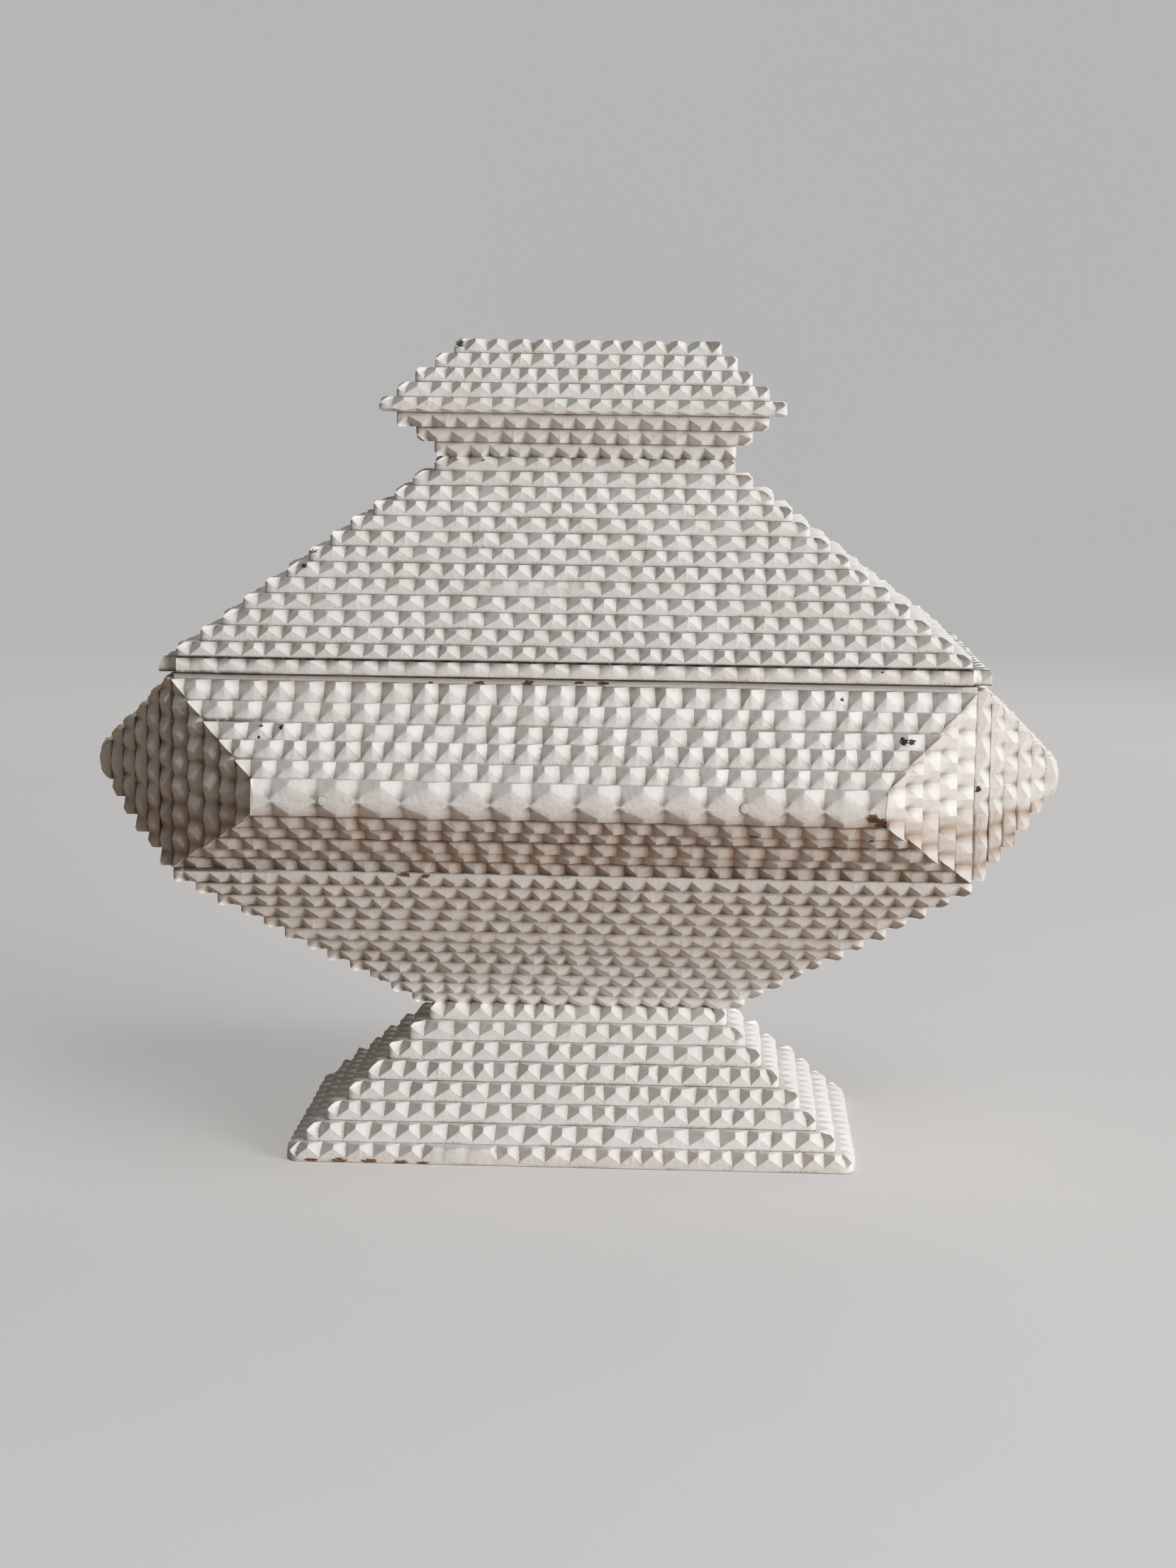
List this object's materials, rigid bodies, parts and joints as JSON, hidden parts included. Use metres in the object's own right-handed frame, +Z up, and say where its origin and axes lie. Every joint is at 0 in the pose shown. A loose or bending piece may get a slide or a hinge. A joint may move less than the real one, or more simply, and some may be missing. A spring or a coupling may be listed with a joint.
{
  "type": "tramp art box",
  "caption": "Tramp art box of stacked notch-edged wooden layers: stepped foot, inverted stepped bowl, box with pyramid sides, and a hinged stepped lid with a flared cap as its handle.",
  "frame": {"origin": "centre of the foot's underside, on the surface it stands on", "axes": "+Z up, +X to the right along the front, the front faces -Y"},
  "size_m": [0.3274, 0.2188, 0.282],
  "materials": {
    "painted_wood": "worn off-white paint over wood",
    "plain_wood": "bare cigar-box wood",
    "brass": "dull",
    "steel": "dull",
    "painted_nail": "painted over"
  },
  "bodies": {
    "box": {"foot_plate_1": "painted_wood", "foot_plate_2": "painted_wood", "foot_plate_3": "painted_wood", "foot_plate_4": "painted_wood", "foot_plate_5": "painted_wood", "foot_plate_6": "painted_wood", "foot_plate_7": "painted_wood", "foot_plate_8": "painted_wood", "bowl_plate_1": "painted_wood", "bowl_plate_2": "painted_wood", "bowl_plate_3": "painted_wood", "bowl_plate_4": "painted_wood", "bowl_plate_5": "painted_wood", "bowl_plate_6": "painted_wood", "bowl_plate_7": "painted_wood", "bowl_plate_8": "painted_wood", "bowl_plate_9": "painted_wood", "bowl_plate_10": "painted_wood", "bowl_plate_11": "painted_wood", "bowl_plate_12": "painted_wood", "core_walls": "plain_wood", "front_back_boards": "painted_wood", "front_back_step_2": "painted_wood", "front_back_step_3": "painted_wood", "front_back_step_4": "painted_wood", "front_back_step_5": "painted_wood", "end_boards": "painted_wood", "end_step_2": "painted_wood", "end_step_3": "painted_wood", "end_step_4": "painted_wood", "end_step_5": "painted_wood", "ridge_bars": "painted_wood", "ridge_nails": "painted_nail", "body_hinge_leaves": "brass", "hinge_pins": "steel", "body_hinge_screws": "brass"},
    "lid": {"lid_skirt": "painted_wood", "roof_plate_1": "painted_wood", "roof_plate_2": "painted_wood", "roof_plate_3": "painted_wood", "roof_plate_4": "painted_wood", "roof_plate_5": "painted_wood", "roof_plate_6": "painted_wood", "roof_plate_7": "painted_wood", "roof_plate_8": "painted_wood", "roof_plate_9": "painted_wood", "roof_plate_10": "painted_wood", "roof_plate_11": "painted_wood", "roof_plate_12": "painted_wood", "roof_plate_13": "painted_wood", "cap_plate_1": "painted_wood", "cap_plate_2": "painted_wood", "cap_plate_3": "painted_wood", "cap_plate_4": "painted_wood", "cap_plate_5": "painted_wood", "cap_plate_6": "painted_wood", "cap_plate_7": "painted_wood", "cap_plate_8": "painted_wood", "lid_hinge_leaves": "brass", "lid_hinge_screws": "brass"}
  },
  "joints": [
    {"name": "lid_hinge", "type": "hinge", "parent": "box", "child": "lid", "pos_m": [0, 0.0858, 0.1702], "axis": [-1, 0, 0], "range_deg": [0, 100]}
  ]
}
